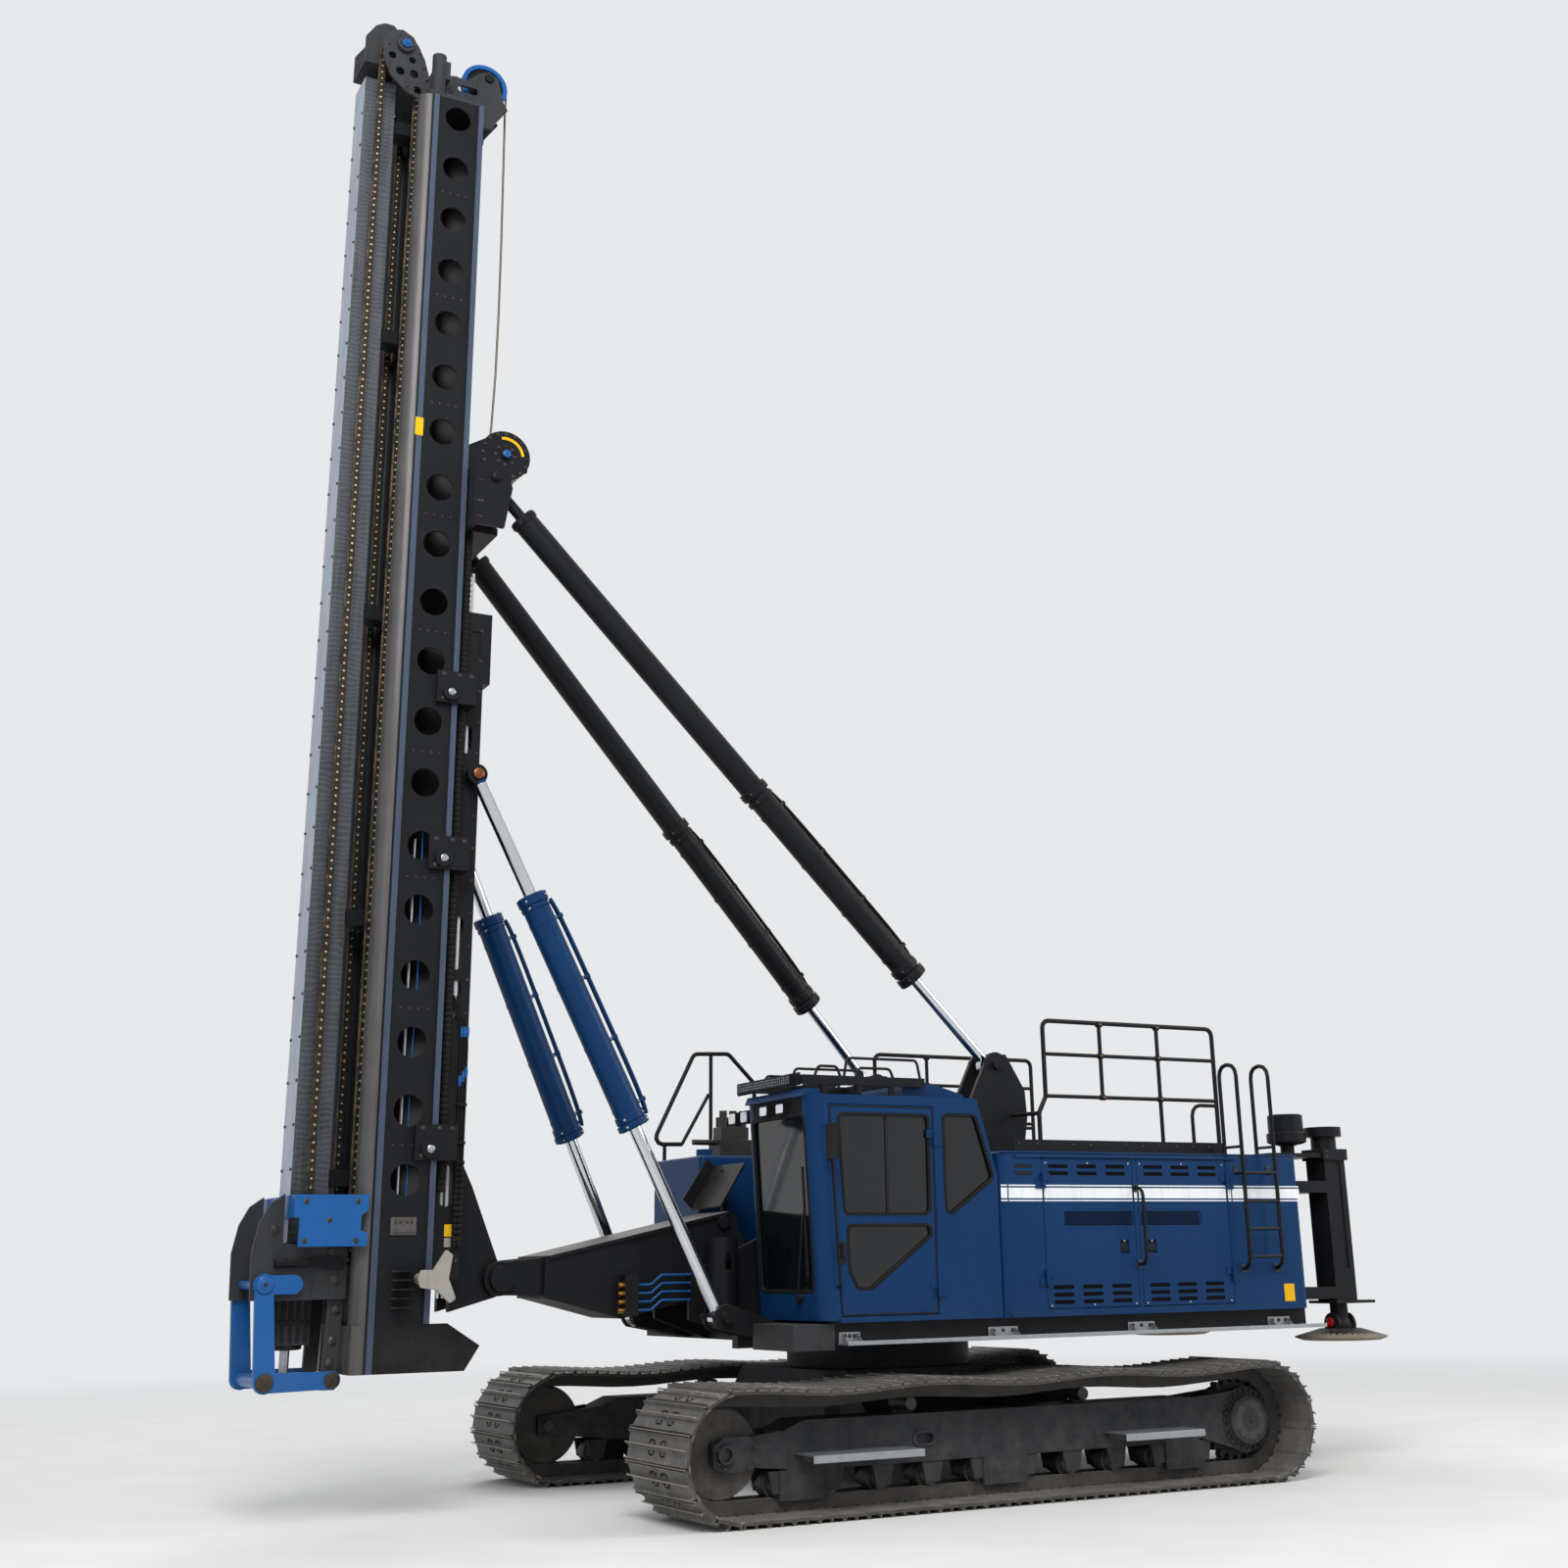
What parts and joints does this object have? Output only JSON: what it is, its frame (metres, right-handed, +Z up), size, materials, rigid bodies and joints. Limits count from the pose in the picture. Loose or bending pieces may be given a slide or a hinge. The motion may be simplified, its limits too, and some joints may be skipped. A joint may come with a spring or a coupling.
{
  "type": "pile driver rig",
  "caption": "Crawler-mounted pile driving rig with slewing cab and engine house, upright leader on a cradle, luffing cylinders and backstays.",
  "frame": {"origin": "on the ground, under the middle of the whole rig; the slewing axis is 0.43 m behind it", "axes": "+X to the machine's rear, +Y to its right, +Z up"},
  "size_m": [9.75, 4.364, 12.3295],
  "materials": {
    "blue_paint": "satin",
    "chain_steel": "oiled",
    "chrome": "polished",
    "dark_paint": "satin",
    "galvanised": "matte",
    "glass": "gloss",
    "grey_paint": "satin",
    "guide_steel": "satin",
    "link_paint": "satin",
    "plastic": "matte",
    "rubber": "matte",
    "track_steel": "worn",
    "wheel_steel": "worn"
  },
  "bodies": {
    "crawler": {"track_left": "track_steel", "track_right": "track_steel", "side_frame_left": "dark_paint", "side_frame_right": "dark_paint", "crawler_steps": "galvanised", "track_wheels": "wheel_steel", "carbody": "dark_paint"},
    "upper": {"upper_frame": "dark_paint", "foot_beam": "dark_paint", "cab_fittings": "dark_paint", "front_platform": "grey_paint", "walkways": "galvanised", "house_ladder": "dark_paint", "roof_handrails": "dark_paint", "air_cleaner": "dark_paint", "right_tank": "blue_paint", "front_hood": "grey_paint", "front_post": "dark_paint", "valve_blocks": "dark_paint", "house_shell": "blue_paint", "engine_block": "dark_paint", "counterweight": "dark_paint", "jack_sleeves": "dark_paint", "cab_shell": "blue_paint", "cab_glass": "glass", "cab_seat": "plastic", "stay_bracket": "grey_paint"},
    "cab_door": {"cab_door": "blue_paint", "cab_door_glass": "glass"},
    "cradle": {"cradle_beam": "dark_paint", "cradle_ties": "chrome", "stay_head": "grey_paint", "cradle_hose": "rubber"},
    "leader": {"leader_box": "dark_paint", "leader_foot": "dark_paint", "guide_column": "guide_steel", "guide_strips": "guide_steel", "leader_head": "dark_paint", "hoist_chains": "chain_steel", "pile_guide_frame": "dark_paint"},
    "carriage": {"chain_carriage": "link_paint"},
    "guide_gate": {"pile_guide_gate": "link_paint"},
    "head_sprockets": {"head_sprockets": "link_paint"},
    "foot_sprockets": {"foot_sprockets": "wheel_steel"},
    "rope_sheave": {"rope_sheave": "link_paint"},
    "winch_drum": {"winch_drum": "wheel_steel"},
    "house_door_front_left": {"house_door_front_left": "blue_paint"},
    "house_door_rear_left": {"house_door_rear_left": "blue_paint"},
    "jack_left": {"jack_ram_left": "dark_paint"},
    "backstay_barrel_left": {"backstay_barrel_left": "dark_paint"},
    "backstay_rod_left": {"backstay_rod_left": "chrome"},
    "luffing_cylinder_barrel_left": {"luffing_cylinder_barrel_left": "blue_paint"},
    "luffing_cylinder_rod_left": {"luffing_cylinder_rod_left": "chrome"},
    "house_door_front_right": {"house_door_front_right": "blue_paint"},
    "house_door_rear_right": {"house_door_rear_right": "blue_paint"},
    "jack_right": {"jack_ram_right": "dark_paint"},
    "backstay_barrel_right": {"backstay_barrel_right": "dark_paint"},
    "backstay_rod_right": {"backstay_rod_right": "chrome"},
    "luffing_cylinder_barrel_right": {"luffing_cylinder_barrel_right": "blue_paint"},
    "luffing_cylinder_rod_right": {"luffing_cylinder_rod_right": "chrome"}
  },
  "joints": [
    {"name": "slewing", "type": "hinge", "parent": "crawler", "child": "upper", "pos_m": [0.43, 0, 1.1], "axis": [0, 0, 1], "continuous": true},
    {"name": "cab_door_hinge", "type": "hinge", "parent": "upper", "child": "cab_door", "pos_m": [0.03, -1.6563, 2.1], "axis": [0, 0, 1], "range_deg": [0, 95]},
    {"name": "house_door_front_left_hinge", "type": "hinge", "parent": "upper", "child": "house_door_front_left", "pos_m": [1.042, -1.6563, 1.9], "axis": [0, 0, -1], "range_deg": [0, 85]},
    {"name": "house_door_rear_left_hinge", "type": "hinge", "parent": "upper", "child": "house_door_rear_left", "pos_m": [2.935, -1.6563, 1.9], "axis": [0, 0, 1], "range_deg": [0, 85]},
    {"name": "jack_left_slide", "type": "slide", "parent": "upper", "child": "jack_left", "axis": [0, 0, -1], "range_m": [0, 0.98]},
    {"name": "house_door_front_right_hinge", "type": "hinge", "parent": "upper", "child": "house_door_front_right", "pos_m": [1.042, 1.6563, 1.9], "axis": [0, 0, 1], "range_deg": [0, 85]},
    {"name": "house_door_rear_right_hinge", "type": "hinge", "parent": "upper", "child": "house_door_rear_right", "pos_m": [2.935, 1.6563, 1.9], "axis": [0, 0, -1], "range_deg": [0, 85]},
    {"name": "jack_right_slide", "type": "slide", "parent": "upper", "child": "jack_right", "axis": [0, 0, -1], "range_m": [0, 0.98]},
    {"name": "mast_tilt", "type": "hinge", "parent": "upper", "child": "cradle", "pos_m": [-2.99, 0, 1.63], "axis": [0, 1, 0], "range_deg": [-5, 10]},
    {"name": "leader_slide", "type": "slide", "parent": "cradle", "child": "leader", "axis": [0, 0, 1], "range_m": [-0.65, 0]},
    {"name": "carriage_slide", "type": "slide", "parent": "leader", "child": "carriage", "axis": [0, 0, 1], "range_m": [0, 8.6]},
    {"name": "guide_gate_hinge", "type": "hinge", "parent": "leader", "child": "guide_gate", "pos_m": [-4.774, 0, 1.62], "axis": [0, 1, 0], "range_deg": [0, 60]},
    {"name": "head_sprocket_spin", "type": "hinge", "parent": "leader", "child": "head_sprockets", "pos_m": [-4.305, 0, 12.02], "axis": [0, 1, 0], "continuous": true},
    {"name": "foot_sprocket_spin", "type": "hinge", "parent": "leader", "child": "foot_sprockets", "pos_m": [-4.305, 0, 1.84], "axis": [0, 1, 0], "continuous": true},
    {"name": "rope_sheave_spin", "type": "hinge", "parent": "leader", "child": "rope_sheave", "pos_m": [-3.46, 0, 12.075], "axis": [0, 1, 0], "continuous": true},
    {"name": "winch_drum_spin", "type": "hinge", "parent": "cradle", "child": "winch_drum", "pos_m": [-3.25, 0, 8.27], "axis": [0, 1, 0], "continuous": true},
    {"name": "backstay_left_pivot", "type": "hinge", "parent": "cradle", "child": "backstay_barrel_left", "pos_m": [-3.42, -0.56, 7.93], "axis": [0, 1, 0], "range_deg": [-2.41, 1.3]},
    {"name": "backstay_left_stroke", "type": "slide", "parent": "backstay_barrel_left", "child": "backstay_rod_left", "axis": [0.6851, -0.0684, -0.7252], "range_m": [-0.7191, 0.3645]},
    {"name": "luffing_cylinder_left_pivot", "type": "hinge", "parent": "cradle", "child": "luffing_cylinder_barrel_left", "pos_m": [-3.4, -0.43, 5.455], "axis": [0, 1, 0], "range_deg": [-2.2, 1.2]},
    {"name": "luffing_cylinder_left_stroke", "type": "slide", "parent": "luffing_cylinder_barrel_left", "child": "luffing_cylinder_rod_left", "axis": [0.4301, -0.0804, -0.8992], "range_m": [-0.2397, 0.1249]},
    {"name": "backstay_right_pivot", "type": "hinge", "parent": "cradle", "child": "backstay_barrel_right", "pos_m": [-3.42, 0.56, 7.93], "axis": [0, 1, 0], "range_deg": [-2.41, 1.3]},
    {"name": "backstay_right_stroke", "type": "slide", "parent": "backstay_barrel_right", "child": "backstay_rod_right", "axis": [0.6851, 0.0684, -0.7252], "range_m": [-0.7191, 0.3645]},
    {"name": "luffing_cylinder_right_pivot", "type": "hinge", "parent": "cradle", "child": "luffing_cylinder_barrel_right", "pos_m": [-3.4, 0.43, 5.455], "axis": [0, 1, 0], "range_deg": [-2.2, 1.2]},
    {"name": "luffing_cylinder_right_stroke", "type": "slide", "parent": "luffing_cylinder_barrel_right", "child": "luffing_cylinder_rod_right", "axis": [0.4301, 0.0804, -0.8992], "range_m": [-0.2397, 0.1249]}
  ],
  "couplings": [
    {"joint": "backstay_left_pivot", "follows": "mast_tilt", "ratio": -0.22085},
    {"joint": "backstay_left_stroke", "follows": "mast_tilt", "m_per_rad": -4.0626},
    {"joint": "luffing_cylinder_left_pivot", "follows": "mast_tilt", "ratio": -0.19978},
    {"joint": "luffing_cylinder_left_stroke", "follows": "mast_tilt", "m_per_rad": -1.3162},
    {"joint": "backstay_right_pivot", "follows": "mast_tilt", "ratio": -0.22085},
    {"joint": "backstay_right_stroke", "follows": "mast_tilt", "m_per_rad": -4.0626},
    {"joint": "luffing_cylinder_right_pivot", "follows": "mast_tilt", "ratio": -0.19978},
    {"joint": "luffing_cylinder_right_stroke", "follows": "mast_tilt", "m_per_rad": -1.3162}
  ]
}
